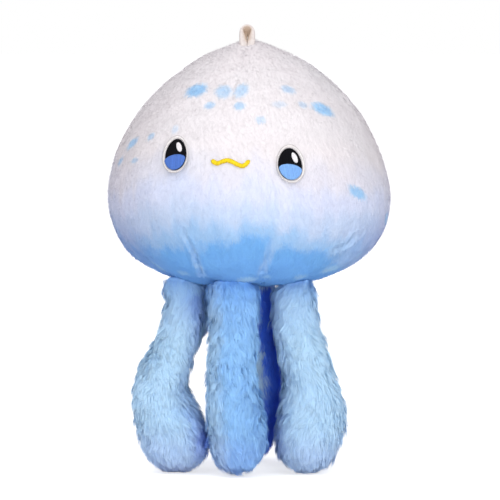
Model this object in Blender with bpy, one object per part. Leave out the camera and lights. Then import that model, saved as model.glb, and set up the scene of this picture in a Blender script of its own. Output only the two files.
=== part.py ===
"""A plush jellyfish: a stuffed bell with an embroidered face and a hang loop, on six furry tentacles.

Units are metres and +Z is up. The face looks along -Y, turned a little to the left, and the
tentacles stand on Z = 0. Left and right are as seen from the front. An azimuth is an angle about Z
from -Y, positive to the right.
"""

import math

import bmesh
import bpy
from mathutils import Vector

MM = 0.001
CLEARANCE = 0.3 * MM

# Bell
BELL_RADIUS = 111.8 * MM
BELL_TOP = 335.2 * MM
BELL_WIDEST = 216.5 * MM
BELL_BOTTOM = 145 * MM
BELL_TOP_POWERS = (1.7, 1.8)
BELL_BOTTOM_POWERS = (2.0, 3.05)
BELL_SEGMENTS = 72
BELL_RINGS = 32
PEAK_HEIGHT = 4.7 * MM
PEAK_RADIUS = 14 * MM
PEAK_POWER = 1.3
SAG_SHIFT = 1.5 * MM
SAG_LEVEL = 262 * MM
SAG_REACH = 28 * MM

# Seams of the cover
SEAM_AZIMUTH = -10
TOP_DARTS = 4
TOP_DART_END = 286 * MM
TOP_DART_FULL = 318 * MM
TOP_DART_WIDTH = 4 * MM
TOP_DART_DEPTH = 1.3 * MM
GATHERS = 9
GATHER_END = 191 * MM
GATHER_FULL = 164 * MM
GATHER_WIDTH = 6.5 * MM
GATHER_DEPTH = 3 * MM

# Tentacles: the ring of roots, then the azimuth, radii from root to foot, bow, drift of the foot
# and lift of the foot of each, in degrees and millimetres
RING_CENTRE_X = -6.5 * MM
RING_RADIUS = 48 * MM
ROOT_GAP = 0.5 * MM
SIDE_TOP = 142 * MM
FOOT_TOP = 30 * MM
FOOT_SINK = 1 * MM
FOOT_TURNS = (20, 40, 58, 72)
BOW_LEVEL = 70 * MM
BOW_REACH = 30 * MM
DRIFT_START = 130 * MM
DRIFT_END = 35 * MM
RADIUS_LEVELS = (152 * MM, 112 * MM, 75 * MM, 37 * MM)
LUMP = 0.035
LUMP_SWELLS = (17 * MM, 11 * MM)
TENTACLE_SIDES = 16
SIDE_RINGS = 15
TENTACLES = {
    "tentacle_front_left": (-67, (15, 16.5, 20.5, 28), (-15, -4), (-6, -4), 0),
    "tentacle_front_middle": (-7, (20.2, 19, 21.5, 23.5), (-2, -7), (3, -3), 3),
    "tentacle_front_right": (60, (16, 18.5, 21, 27), (5.5, -5), (10.5, -5), 0),
    "tentacle_back_left": (-127, (14.5, 16, 18.5, 21.5), (-18, 4), (-12, 9), 0),
    "tentacle_back_middle": (169, (16, 17.5, 19, 21), (4, 8), (-2, 11), 0),
    "tentacle_back_right": (115, (13.5, 15.5, 19, 23), (3, 5), (9, 14), 0),
}

# Hang loop, a flat tape that leans back over the top: half the tape's width, half its thickness
# in the arc and at the feet, and the depths between which it swells
LOOP_X = -1.8 * MM
LOOP_Y = -4.5 * MM
LOOP_TOP = 350.4 * MM
LOOP_LEAN = 38
LOOP_HALF_WIDTH = 6.2 * MM
TAPE_HALF_WIDTH = 4.2 * MM
TAPE_HALF_THICKNESS = (1.65 * MM, 2.9 * MM)
TAPE_SWELLS = (4.5 * MM, 14 * MM)
TAPE_SQUARENESS = 0.6
TAPE_SIDES = 12
LOOP_RINGS = 32

# Face
THREAD_HEIGHT = 1.0 * MM
EYE_HALF = (11.3 * MM, 15.4 * MM)
PUPIL_HALF = (9.3 * MM, 12.7 * MM)
PUPIL_DROP = 0.4 * MM
EGG_TAPER = 0.1
FACE_STEP = 5 * MM
IRIS_ENDS = 21
IRIS_DOME = 4.2 * MM
GLINT_HALF = (2.1 * MM, 4.2 * MM)
GLINT_RISE = 4.6 * MM
GLINT_TURN = 22
# Azimuth, level, roll, pupil shift and glint shift of each eye
EYES = {
    "left": (-32.3, 252 * MM, 10, 0.6 * MM, 4.2 * MM),
    "right": (17.8, 245.4 * MM, -8, -0.6 * MM, 2.6 * MM),
}
MOUTH_WAVE = ((-14.9, 247.7), (-12.6, 245.8), (-8.3, 248.1), (-2.6, 244), (0.4, 247.4))
MOUTH_HALF = (1.55 * MM, 0.6 * MM)
MOUTH_STEPS = 26

# Colour and roughness
PLUSH_WHITE = ((0.86, 0.87, 0.93), 0.95)
FUR_BLUE = ((0.32, 0.55, 0.88), 0.95)
TAPE_CREAM = ((0.8, 0.76, 0.7), 0.85)
THREAD_WHITE = ((0.8, 0.79, 0.78), 0.6)
THREAD_BLACK = ((0.012, 0.012, 0.016), 0.5)
THREAD_BLUE = ((0.12, 0.27, 0.78), 0.5)
THREAD_YELLOW = ((0.87, 0.69, 0.12), 0.5)


def clear_scene():
    for item in list(bpy.data.objects):
        bpy.data.objects.remove(item, do_unlink=True)


def smooth_step(value):
    value = min(max(value, 0), 1)
    return value * value * (3 - 2 * value)


def eased(levels, values, level):
    """The value at a level, eased between the given levels, which run downwards."""
    for i in range(len(levels) - 1):
        if level >= levels[i + 1]:
            part = smooth_step((levels[i] - level) / (levels[i] - levels[i + 1]))
            return values[i] + (values[i + 1] - values[i]) * part
    return values[-1]


def bell_peak(radius):
    """How far the seams draw the cover up towards the hang loop."""
    return PEAK_HEIGHT * math.exp(-((radius / PEAK_RADIUS) ** PEAK_POWER))


def bell_ring(sine):
    """The radius and level of the cover at this sine of latitude."""
    cosine = math.sqrt(max(1 - sine * sine, 0))
    p, q = BELL_TOP_POWERS if sine >= 0 else BELL_BOTTOM_POWERS
    reach = BELL_TOP - BELL_WIDEST if sine >= 0 else BELL_BOTTOM - BELL_WIDEST
    return BELL_RADIUS * cosine ** (2 / q), BELL_WIDEST + reach * abs(sine) ** (2 / p)


def bell_crown(x, y):
    """The level of the cover's facets near the top."""
    radius = math.hypot(x, y)
    rings = [bell_ring(math.cos(math.pi * k / BELL_RINGS)) for k in range(6)]
    for (near, high), (far, low) in zip(rings, rings[1:]):
        if radius <= far:
            share = (radius - near) / (far - near)
            return (high + bell_peak(near)) * (1 - share) + (low + bell_peak(far)) * share
    return BELL_WIDEST


def bell_radius(z):
    if z >= BELL_WIDEST:
        rise, (p, q) = (z - BELL_WIDEST) / (BELL_TOP - BELL_WIDEST), BELL_TOP_POWERS
    else:
        rise, (p, q) = (BELL_WIDEST - z) / (BELL_WIDEST - BELL_BOTTOM), BELL_BOTTOM_POWERS
    return BELL_RADIUS * max(1 - rise**p, 0) ** (1 / q)


def bell_underside(radius):
    """The level of the bell's lower surface at this distance from its axis."""
    p, q = BELL_BOTTOM_POWERS
    share = max(1 - (radius / BELL_RADIUS) ** q, 0) ** (1 / p)
    return BELL_WIDEST - (BELL_WIDEST - BELL_BOTTOM) * share


def bell_shift(z):
    """How far the stuffing leans to the left at this level."""
    return -SAG_SHIFT * math.exp(-(((z - SAG_LEVEL) / SAG_REACH) ** 2))


def across_seam(azimuth, radius, count):
    """The distance to the nearest of the seams that run from pole to pole."""
    pitch = 2 * math.pi / count
    turn = (azimuth - math.radians(SEAM_AZIMUTH)) % pitch
    return radius * min(turn, pitch - turn)


def bell_dent(azimuth, radius, z):
    """How far the seams draw the cover in here."""
    top = smooth_step((z - TOP_DART_END) / (TOP_DART_FULL - TOP_DART_END))
    low = smooth_step((GATHER_END - z) / (GATHER_END - GATHER_FULL))
    dart = math.exp(-((across_seam(azimuth, radius, TOP_DARTS) / TOP_DART_WIDTH) ** 2))
    # The gathers sit halfway between the multiples of their pitch on either side of the face.
    half_turn = math.pi / GATHERS
    gather = math.exp(-((across_seam(azimuth - half_turn, radius, GATHERS) / GATHER_WIDTH) ** 2))
    return TOP_DART_DEPTH * top * dart + GATHER_DEPTH * low * gather


def bell_surface(azimuth, z):
    radius = bell_radius(z)
    return Vector((radius * math.sin(azimuth) + bell_shift(z), -radius * math.cos(azimuth), z))


def on_bell(azimuth, z, out):
    """The point this far outside the bell's surface, and the surface normal there."""
    step = 0.5 * MM
    up = bell_surface(azimuth, z + step) - bell_surface(azimuth, z - step)
    along = bell_surface(azimuth + 0.01, z) - bell_surface(azimuth - 0.01, z)
    normal = along.cross(up).normalized()
    return bell_surface(azimuth, z) + normal * out, normal


def add_object(name, mesh, finish, collection):
    colour, roughness = finish
    material = bpy.data.materials.new(name + "_material")
    material.use_nodes = True
    shader = material.node_tree.nodes["Principled BSDF"]
    shader.inputs["Base Color"].default_value = (*colour, 1)
    shader.inputs["Roughness"].default_value = roughness
    shader.inputs["Metallic"].default_value = 0
    mesh.materials.append(material)
    item = bpy.data.objects.new(name, mesh)
    collection.objects.link(item)
    return item


def finished_mesh(name, form):
    bmesh.ops.recalc_face_normals(form, faces=form.faces)
    if form.calc_volume(signed=True) < 0:
        bmesh.ops.reverse_faces(form, faces=form.faces)
    for face in form.faces:
        face.smooth = True
    mesh = bpy.data.meshes.new(name)
    form.to_mesh(mesh)
    form.free()
    return mesh


def reshaped_sphere(name, sides, rings, place):
    """A closed sphere of this many sides, each point moved to place(ring, turn, latitude sine)."""
    form = bmesh.new()
    bmesh.ops.create_uvsphere(form, u_segments=sides, v_segments=rings, radius=1)
    for vert in form.verts:
        sine = min(max(vert.co.z, -1), 1)
        ring = round(math.acos(sine) / math.pi * rings)
        vert.co = place(ring, math.atan2(vert.co.y, vert.co.x), sine)
    return finished_mesh(name, form)


def make_bell():
    def place(ring, turn, sine):
        radius, z = bell_ring(sine)
        cosine = math.sqrt(max(1 - sine * sine, 0))
        # A sphere's points start on +X, so this turn puts a column of them on each seam.
        azimuth = turn + math.pi / 2 + math.radians(SEAM_AZIMUTH)
        dent = bell_dent(azimuth, radius, z)
        inward = dent * max(cosine, 0.25) if sine >= 0 else dent * min(cosine * 1.4, 1)
        lift = bell_peak(radius) if sine > 0 else 0
        lift += -dent * sine * 0.8 if cosine > 0.15 else 0
        radius = max(radius - inward, 0)
        x = radius * math.sin(azimuth) + bell_shift(z)
        return Vector((x, -radius * math.cos(azimuth), z + lift))

    return reshaped_sphere("bell", BELL_SEGMENTS, BELL_RINGS, place)


def tentacle_axis(row, z):
    azimuth, _, bow, drift, _ = row
    root = Vector((RING_CENTRE_X, 0)) + RING_RADIUS * Vector(
        (math.sin(math.radians(azimuth)), -math.cos(math.radians(azimuth)))
    )
    swing = math.exp(-(((z - BOW_LEVEL) / BOW_REACH) ** 2))
    slide = smooth_step((DRIFT_START - z) / (DRIFT_START - DRIFT_END))
    return root + (Vector(bow) * swing + Vector(drift) * slide) * MM


def tentacle_radius(row, z, turn):
    azimuth, radii, _, _, _ = row
    lump = math.sin(2 * turn + azimuth + z / LUMP_SWELLS[0]) * math.cos(z / LUMP_SWELLS[1] + azimuth)
    return eased(RADIUS_LEVELS, radii, z) * MM * (1 + LUMP * lump)


def make_tentacle(name, row):
    """Level rings from the root, cut to the bell's underside, down to a foot with a flat sole."""
    rings = 2 + SIDE_RINGS + len(FOOT_TURNS) + 1
    lift = row[4] * MM

    def at(z, turn, share):
        axis = tentacle_axis(row, z)
        radius = tentacle_radius(row, z, turn) * share
        return Vector((axis.x + radius * math.cos(turn), axis.y + radius * math.sin(turn), raised(z)))

    def raised(z):
        return z + lift * (1 - z / SIDE_TOP)

    def place(ring, turn, sine):
        if ring <= 2:
            point = at(BELL_BOTTOM, turn, (0, 0.55, 0.94)[ring])
            point.z = bell_underside(math.hypot(point.x, point.y)) - ROOT_GAP
            return point
        if ring <= 2 + SIDE_RINGS:
            part = (ring - 3) / (SIDE_RINGS - 1)
            return at(SIDE_TOP + (FOOT_TOP - SIDE_TOP) * part, turn, 1)
        if ring == rings:
            return at(0, turn, 0)
        angle = math.radians(FOOT_TURNS[ring - 3 - SIDE_RINGS])
        z = FOOT_TOP * (1 - math.sin(angle) ** (2 / 3))
        point = at(z, turn, math.cos(angle))
        sole = ring == rings - 1
        point.z = raised(0 if sole else (z - FOOT_SINK) * FOOT_TOP / (FOOT_TOP - FOOT_SINK))
        return point

    return reshaped_sphere(name, TENTACLE_SIDES, rings, place)


def tape_section(turn, half_thickness):
    """A point of the tape's rounded section, as (outward, backward) in the loop's leaning plane."""
    across, back = math.cos(turn), math.sin(turn)
    return (
        half_thickness * math.copysign(abs(across) ** TAPE_SQUARENESS, across),
        TAPE_HALF_WIDTH * math.copysign(abs(back) ** TAPE_SQUARENESS, back),
    )


def in_loop(x, up, back):
    """The point at these distances from the middle of the loop's arc, in the leaning plane."""
    lean = math.radians(LOOP_LEAN)
    half = TAPE_HALF_THICKNESS[0]
    corners = [tape_section(2 * math.pi * k / TAPE_SIDES, half) for k in range(TAPE_SIDES)]
    top = max(a * math.cos(lean) - b * math.sin(lean) for a, b in corners)
    middle = LOOP_TOP - top - (LOOP_HALF_WIDTH - half) * math.cos(lean)
    y = LOOP_Y + up * math.sin(lean) + back * math.cos(lean)
    return Vector((LOOP_X + x, y, middle + up * math.cos(lean) - back * math.sin(lean)))


def foot_depth(x, back):
    """How far below the arc's middle a fibre of the tape meets the cover."""
    depth = 0
    for _ in range(20):
        point = in_loop(x, -depth, back)
        depth += (point.z - bell_crown(point.x, point.y) - CLEARANCE) / math.cos(math.radians(LOOP_LEAN))
    return depth


def make_loop():
    """The tape from its left foot, over the arc, to its right foot."""
    leg_share = 0.3
    thin, thick = TAPE_HALF_THICKNESS
    start, end = TAPE_SWELLS

    def place(ring, turn, sine):
        part = min(max((ring - 1) / (LOOP_RINGS - 2), 0), 1)
        side = -1 if part < 0.5 else 1
        along = min(part, 1 - part)
        pole = ring in (0, LOOP_RINGS)
        out, back = (0, 0) if pole else tape_section(turn, thin)
        reach = LOOP_HALF_WIDTH - thin + out
        if along < leg_share:
            depth = foot_depth(side * reach, back) * (1 - along / leg_share)
            half = thin + (thick - thin) * smooth_step((depth - start) / (end - start))
            reach = LOOP_HALF_WIDTH - half + out * half / thin
            return in_loop(side * reach, -depth, back)
        angle = (along - leg_share) / (0.5 - leg_share) * math.pi / 2
        return in_loop(side * reach * math.cos(angle), reach * math.sin(angle), back)

    return reshaped_sphere("hang_loop", TAPE_SIDES, LOOP_RINGS, place)


def egg(half, turn):
    """A point of an outline that is a little narrower at the top, as (right, up)."""
    width, height = half
    up = math.sin(turn)
    return Vector((width * math.cos(turn) * (1 - EGG_TAPER * up), height * up))


def on_face(eye, offset, out):
    """A point of an eye from its (right, up) offset on the surface."""
    azimuth, z, roll, _, _ = EYES[eye]
    roll = math.radians(roll)
    right = offset.x * math.cos(roll) - offset.y * math.sin(roll)
    up = offset.x * math.sin(roll) + offset.y * math.cos(roll)
    slope = bell_surface(0, z + FACE_STEP) - bell_surface(0, z - FACE_STEP)
    z += up * slope.z / slope.length
    point, _ = on_bell(math.radians(azimuth) + right / bell_radius(z), z, out)
    return point


def make_pad(name, eye, sides, outline, base):
    """A thin stitched pad inside outline(eye, turn), its underside this far above the cover."""
    shares = (0, 0.55, 0.92, 1, 0.94, 0.55, 0)
    heights = (1, 0.96, 0.8, 0.4, 0, 0, 0)

    def place(ring, turn, sine):
        centre = sum((outline(eye, math.radians(a)) for a in range(-165, 180, 30)), Vector((0, 0))) / 12
        offset = centre + (outline(eye, turn) - centre) * shares[ring]
        return on_face(eye, offset, base + THREAD_HEIGHT * heights[ring])

    return reshaped_sphere(name, sides, len(shares) - 1, place)


def pupil_outline(eye, turn, grow=0.0):
    width, height = PUPIL_HALF
    return egg((width + grow, height + grow), turn) + Vector((EYES[eye][3], -PUPIL_DROP))


def iris_outline(eye, turn):
    """The pupil's outline from one end of the iris to the other, closed by a dome above."""
    end = math.radians(IRIS_ENDS)
    if turn < 0:
        return pupil_outline(eye, turn * (1 - 2 * end / math.pi) - end)
    ends = [pupil_outline(eye, angle) for angle in (-end, end - math.pi)]
    along = (1 - math.cos(turn)) / 2
    return ends[0].lerp(ends[1], along) + Vector((0, IRIS_DOME * math.sin(turn)))


def glint_outline(eye, turn):
    width, height = GLINT_HALF
    lean = math.radians(GLINT_TURN)
    x, y = width * math.cos(turn), height * math.sin(turn)
    turned = Vector((x * math.cos(lean) - y * math.sin(lean), x * math.sin(lean) + y * math.cos(lean)))
    return turned + Vector((EYES[eye][4], GLINT_RISE))


def make_rim(name, eye):
    """The pale stitched rim round the pupil, a ring of eight-sided section."""
    minor = 0.2
    bpy.ops.mesh.primitive_torus_add(
        major_segments=28, minor_segments=8, major_radius=1, minor_radius=minor
    )
    torus = bpy.context.object
    form = bmesh.new()
    form.from_mesh(torus.data)
    bpy.data.objects.remove(torus, do_unlink=True)
    for vert in form.verts:
        turn = math.atan2(vert.co.y, vert.co.x)
        share = (math.hypot(vert.co.x, vert.co.y) - 1) / minor / 2 + 0.5
        height = max(vert.co.z / minor, -0.75) / 1.75 + 0.75 / 1.75
        inner = pupil_outline(eye, turn, CLEARANCE * 1.5)
        offset = inner + (egg(EYE_HALF, turn) - inner) * share
        vert.co = on_face(eye, offset, CLEARANCE + THREAD_HEIGHT * height)
    return finished_mesh(name, form)


def mouth_point(part):
    """A point of the mouth's line as (azimuth, level), eased through the wave's points."""
    place = part * (len(MOUTH_WAVE) - 1)
    i = min(int(place), len(MOUTH_WAVE) - 2)
    share = place - i
    before = MOUTH_WAVE[max(i - 1, 0)]
    start, end = MOUTH_WAVE[i], MOUTH_WAVE[i + 1]
    after = MOUTH_WAVE[min(i + 2, len(MOUTH_WAVE) - 1)]

    def spline(k):
        a, b, c, d = before[k], start[k], end[k], after[k]
        return b + share / 2 * (c - a + share * (2 * a - 5 * b + 4 * c - d + share * (3 * (b - c) + d - a)))

    return math.radians(spline(0)), spline(1) * MM


def make_mouth():
    width, height = MOUTH_HALF

    def place(ring, turn, sine):
        part = min(max((ring - 1) / (MOUTH_STEPS - 2), 0), 1)
        point, normal = on_bell(*mouth_point(part), CLEARANCE + height)
        before, _ = on_bell(*mouth_point(max(part - 0.02, 0)), CLEARANCE + height)
        after, _ = on_bell(*mouth_point(min(part + 0.02, 1)), CLEARANCE + height)
        ahead = (after - before).normalized()
        side = normal.cross(ahead).normalized()
        if ring in (0, MOUTH_STEPS):
            return point + ahead * width * 0.7 * (-1 if ring == 0 else 1)
        taper = 0.75 if ring in (1, MOUTH_STEPS - 1) else 1
        return point + (side * width * math.cos(turn) + normal * height * math.sin(turn)) * taper

    return reshaped_sphere("mouth", 8, MOUTH_STEPS, place)


def add_eye(eye, collection):
    rim = make_rim(f"eye_{eye}_rim", eye)
    add_object(f"eye_{eye}_rim", rim, THREAD_WHITE, collection)
    pupil = make_pad(f"eye_{eye}_pupil", eye, 24, pupil_outline, CLEARANCE)
    add_object(f"eye_{eye}_pupil", pupil, THREAD_BLACK, collection)
    upper = 2 * CLEARANCE + THREAD_HEIGHT
    iris = make_pad(f"eye_{eye}_iris", eye, 20, iris_outline, upper)
    add_object(f"eye_{eye}_iris", iris, THREAD_BLUE, collection)
    glint = make_pad(f"eye_{eye}_glint", eye, 12, glint_outline, upper)
    add_object(f"eye_{eye}_glint", glint, THREAD_WHITE, collection)


def main():
    clear_scene()
    collection = bpy.data.collections.new("plush_jellyfish")
    bpy.context.scene.collection.children.link(collection)
    add_object("bell", make_bell(), PLUSH_WHITE, collection)
    for name, row in TENTACLES.items():
        add_object(name, make_tentacle(name, row), FUR_BLUE, collection)
    add_object("hang_loop", make_loop(), TAPE_CREAM, collection)
    for eye in EYES:
        add_eye(eye, collection)
    add_object("mouth", make_mouth(), THREAD_YELLOW, collection)


main()
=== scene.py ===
"""The looks of the plush jellyfish: pile on the bell, long fur on the tentacles, an embroidered face
and a woven hang loop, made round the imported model.

Units are metres. An azimuth is an angle about Z from -Y, positive to the right as seen from the front.
"""

import math

import bmesh
import bpy
import numpy as np
from mathutils import Matrix, Vector, kdtree
from mathutils.bvhtree import BVHTree


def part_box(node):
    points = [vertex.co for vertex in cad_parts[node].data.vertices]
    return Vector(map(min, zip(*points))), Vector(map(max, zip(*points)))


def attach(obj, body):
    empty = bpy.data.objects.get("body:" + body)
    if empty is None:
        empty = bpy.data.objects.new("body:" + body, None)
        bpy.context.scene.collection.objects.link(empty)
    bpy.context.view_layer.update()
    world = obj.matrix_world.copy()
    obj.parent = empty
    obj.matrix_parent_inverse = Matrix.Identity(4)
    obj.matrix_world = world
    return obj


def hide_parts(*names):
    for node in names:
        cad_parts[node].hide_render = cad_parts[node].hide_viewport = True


MM = 0.001
UP = np.array((0.0, 0.0, 1.0))

# Camera
CAMERA_TARGET = (0.4 * MM, 0, 172.7 * MM)
CAMERA_DISTANCE = 3200 * MM
CAMERA_ELEVATION = 4
VIEW_WIDTH = 393.5 * MM
SENSOR = 36

# Lamps: name, place, size, power and colour, all aimed at the lower bell
LAMP_TARGET = (0, 0, 0.19)
WARM = (1, 0.985, 0.96)
LAMPS = (
    ("key", (0.75, -1.7, 1.65), 1.6, 13.3, WARM),
    ("low_fill", (0.25, -2.0, 0.28), 0.5, 13.5, (1, 0.99, 0.97)),
    ("top", (-0.7, -0.5, 2.1), 1.5, 12, WARM),
    ("back", (-0.3, 2.2, 0.8), 1.4, 6, WARM),
)

# Bell cover
BELL_VOXEL = 5 * MM
BELL_SINK = 0.8 * MM
BELL_PILE = {
    "count": 66000,
    "length": (2.3 * MM, 3.7 * MM),
    "rise": (0.5 * MM, 1.1 * MM),
    "width": 0.62 * MM,
    "inner": (0.5,),
    "swirl": 0.4,
    "clump": 0.25,
    "clump_area": 9 * MM * MM,
    "tuft": 0.12,
    "rounding": 0.12,
    "roll": 0.3,
    "own_normal": 0.12,
    "laid": 0.0,
}
PEAK_LEVEL = 318 * MM
PEAK_FADE = 10 * MM
STITCH_MARGIN = 1.9 * MM
TIP_MARGIN = 1.2 * MM
LUMP_HEIGHT = 0.8 * MM

# Printed spots: azimuth, level, width, height, turn and strength
SPOTS = (
    (-35.7, 301.1, 19.4, 15.5, 8, 1.0),
    (-16.3, 300.7, 13.9, 15.5, 30, 0.6),
    (-5.2, 301.5, 11.1, 15.7, -12, 0.6),
    (-22.3, 290.2, 9.4, 7.7, 20, 0.6),
    (-5.6, 289.6, 9.5, 8.6, -10, 0.65),
    (25.0, 301.3, 13.0, 9.3, -15, 0.5),
    (16.6, 290.3, 13.1, 6.7, 0, 0.25),
    (30.7, 290.0, 8.2, 7.6, 0, 0.4),
    (43.4, 286.6, 21.7, 12.9, -22, 0.95),
    (5.6, 279.2, 8.7, 7.3, -10, 0.45),
    (-64.2, 259.6, 16.3, 8.2, 28, 0.75),
    (-50.5, 265.1, 8.7, 6.8, 20, 0.55),
    (-36.9, 271.0, 6.9, 7.9, 10, 0.3),
    (-71.5, 245.2, 9.9, 7.1, 25, 0.6),
    (-56.8, 246.4, 10.0, 4.8, 12, 0.5),
    (49.2, 222.5, 21.7, 9.4, -25, 0.95),
    (118.0, 291.0, 20.0, 13.0, 14, 0.9),
    (137.0, 302.0, 12.0, 9.0, -8, 0.6),
    (152.0, 283.0, 10.0, 8.0, 0, 0.5),
    (176.0, 297.0, 18.0, 14.0, -18, 0.9),
    (-166.0, 287.0, 9.0, 7.0, 12, 0.5),
    (-148.0, 301.0, 13.0, 11.0, 20, 0.7),
    (-128.0, 284.0, 19.0, 12.0, -15, 0.9),
    (-110.0, 265.0, 9.0, 8.0, 5, 0.5),
    (97.0, 250.0, 10.0, 8.0, 0, 0.5),
    (-98.0, 232.0, 17.0, 10.0, 20, 0.8),
)

# Creases of the cover: points (azimuth, level), width, depth of the valley, height of the ridges
CREASES = (
    (((-28.5, 195), (-26.7, 185), (-25.7, 175), (-27.5, 164), (-31, 158)), 1.6, 2.2, 1.3),
    (((9.2, 186), (8.8, 178), (8.2, 169), (6.8, 161)), 1.6, 1.8, 1.3),
    (((56.5, 189.5), (51, 188.5), (50.6, 183), (47.5, 179.5), (42, 178)), 2.0, 1.6, 1.25),
    (((88, 300), (80, 297), (73, 290)), 2.2, 1.8, 0.9),
    (((-10, 331), (-10, 309), (-10, 296)), 1.3, 1.0, 0.2),
    (((-100, 194), (-96, 178), (-92, 164)), 2.4, 2.6, 1.0),
    (((132, 193), (128, 178), (126, 162)), 2.4, 2.6, 1.0),
    (((172, 190), (168, 177), (166, 163)), 2.4, 2.6, 1.0),
    (((-150, 196), (-152, 180), (-149, 164)), 2.4, 2.6, 1.0),
)

# Tentacle fur
FUR_VOXEL = 4 * MM
FUR_SINK = 3.0 * MM
FUR = {
    "count": 49000,
    "length": (7.0 * MM, 12.0 * MM),
    "rise": (2.5 * MM, 4.6 * MM),
    "width": 0.42 * MM,
    "inner": (0.5,),
    "swirl": 0.55,
    "clump": 0.46,
    "clump_area": 7 * MM * MM,
    "tuft": 0.28,
    "rounding": 0.3,
    "roll": 0.5,
    "own_normal": 0.14,
    "laid": 0.85,
}
# Places where a tentacle is fuller, or slimmer below zero: side, level, spread and amount
FUR_SWELLS = {
    "tentacle_front_left": ((-1, 154, 11, 2.4),),
    "tentacle_front_right": ((1, 101, 10, 1.2), (1, 52, 16, 1.8), (1, 10, 12, -3.2)),
    "tentacle_front_middle": ((1, 80, 18, -3.4),),
    "tentacle_back_middle": ((1, 76, 34, 3.6),),
}
# Painted shade in the gaps between tentacles: how far a gap reaches, and how strongly it counts on each
# row
GAP_REACH = 22 * MM
GAP_RAYS = 8
GAP_SPREAD = 0.8
FRONT_CLOSENESS = 1.25
BACK_CLOSENESS = 5.0
SOLE_CLEARANCE = 0.3 * MM
CROWN_LEVEL = 143 * MM
CROWN_RISE = 4 * MM
CROWN_SPREAD = 1.06
FOOT_LEVEL = 24 * MM
FOOT_TUCK = 3.8 * MM

# Hang loop: the middle and radius of its arc, its lean in degrees, and how the tape is shaped
LOOP_MIDDLE = (-1.8 * MM, -4.5 * MM, 343.6 * MM)
LOOP_LEAN = 38
LOOP_ARC = 4.4 * MM
LOOP_SWELL = 0.05 * MM
TAPE_HALF_WIDTH = 4.2 * MM
LOOP_PEAK = 0.3 * MM
LOOP_DROOP = 0.62
LOOP_PINCH = 1.45
LOOP_BURY = (0, 1.3 * MM, -2.1 * MM)
WEAVE_PITCH = 0.55 * MM

# Embroidery
THREAD_PITCH = 0.42 * MM
THREAD_RISE = 0.16 * MM
THREAD_STEPS = 9
THREAD_DIP = 0.3 * MM
THREAD_PROFILE = ((-0.62, -0.6), (-0.3, 0.75), (0.3, 0.75), (0.62, -0.6))
MOUTH_OVERHANG = 0.55 * MM
FACE_FRONT = -40 * MM
FACE_LEVELS = (220 * MM, 280 * MM)

# Flat maps: the level that a form is mapped round, and the squeeze of its height
BELL_MAP = (216 * MM, 1.3)
FUR_MAP = (75 * MM, 0.4)
MAP_FOOTPRINT = 0.0006

# Colours: stops of level in mm and colour, and how far the levels are shifted
BELL_SHIFT = -33
FUR_SHIFT = -12
BELL_LEVELS = (
    (156, (0.175, 0.42, 0.80)),
    (168, (0.19, 0.46, 0.84)),
    (177, (0.19, 0.46, 0.82)),
    (188, (0.37, 0.58, 0.82)),
    (204, (0.57, 0.68, 0.84)),
    (222, (0.68, 0.73, 0.86)),
    (240, (0.75, 0.755, 0.81)),
    (262, (0.80, 0.78, 0.785)),
)
# The top stops are darker, as painted shade where the tentacles go under the bell
FUR_LEVELS = (
    (0, (0.57, 0.68, 0.98)),
    (18, (0.59, 0.77, 1.0)),
    (50, (0.60, 0.83, 1.0)),
    (105, (0.62, 0.85, 1.0)),
    (135, (0.58, 0.81, 1.0)),
    (152, (0.47, 0.73, 1.0)),
)
# Painted shade: a deeper blue on the middle tentacle, mostly on its right side
MIDDLE_SHADE_BLUE = (0.6, 0.79, 0.98)
# Painted shade: a deep blue in the gaps between tentacles
GAP_SHADE_BLUE = (0.14, 0.28, 1.0)
SIDE_PALENESS = 66
# Painted shade: the blue of the gradient starts higher on the left side and lower on the right
LEFT_SHADE_SHIFT = 11
# Painted shade: lavender over the lower sides of the bell
SIDE_SHADE_LAVENDER = (0.33, 0.43, 0.74)
SPOT_BLUE = (0.37, 0.61, 0.84)
PARTED_PALE = (0.55, 0.70, 0.88)
# Painted shade: darker colour along the crease valleys
CREASE_SHADE = (0.6, 0.66, 0.8)
YELLOW = (0.80, 0.62, 0.02)
# Painted shade: ochre towards both ends of each mouth stitch, at the edges of the line
OCHRE_SHADED_ENDS = (0.62, 0.44, 0.02)


def srgb(*values):
    """A colour given as 0 to 255 on screen, as linear numbers."""
    return tuple(((v / 255 + 0.055) / 1.055) ** 2.4 for v in values)


def smooth_step(values):
    values = np.clip(values, 0, 1)
    return values * values * (3 - 2 * values)


def unit(vectors):
    return vectors / np.maximum(np.linalg.norm(vectors, axis=-1, keepdims=True), 1e-12)


def turned(vectors, axes, angles):
    """Each vector turned about the unit axis at right angles to it."""
    cosine, sine = np.cos(angles)[:, None], np.sin(angles)[:, None]
    return vectors * cosine + np.cross(axes, vectors) * sine


def waves(points, length, seed, count=7):
    """A smooth uneven field between about -1 and 1, whose swells are about this long."""
    rng = np.random.default_rng(seed)
    directions = unit(rng.normal(size=(count, 3)))
    rates = 2 * math.pi / length * rng.uniform(0.6, 1.5, count)
    phases = rng.uniform(0, 2 * math.pi, count)
    return np.sin(points @ (directions.T * rates) + phases).sum(1) / math.sqrt(count)


# Meshes


def vectors_of(mesh, field):
    found = np.empty(len(mesh.vertices) * 3, np.float32)
    mesh.vertices.foreach_get(field, found)
    return found.reshape(-1, 3).astype(float)


def points_of(mesh):
    return vectors_of(mesh, "co")


def normals_of(mesh):
    return vectors_of(mesh, "normal")


def move_points(mesh, points):
    mesh.vertices.foreach_set("co", points.astype(np.float32).ravel())
    mesh.update()


def corners_of(mesh):
    """The vertex of each face corner, and where each face starts."""
    vertices = np.empty(len(mesh.loops), np.int32)
    mesh.loops.foreach_get("vertex_index", vertices)
    starts = np.empty(len(mesh.polygons), np.int32)
    mesh.polygons.foreach_get("loop_start", starts)
    return vertices, starts


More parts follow.
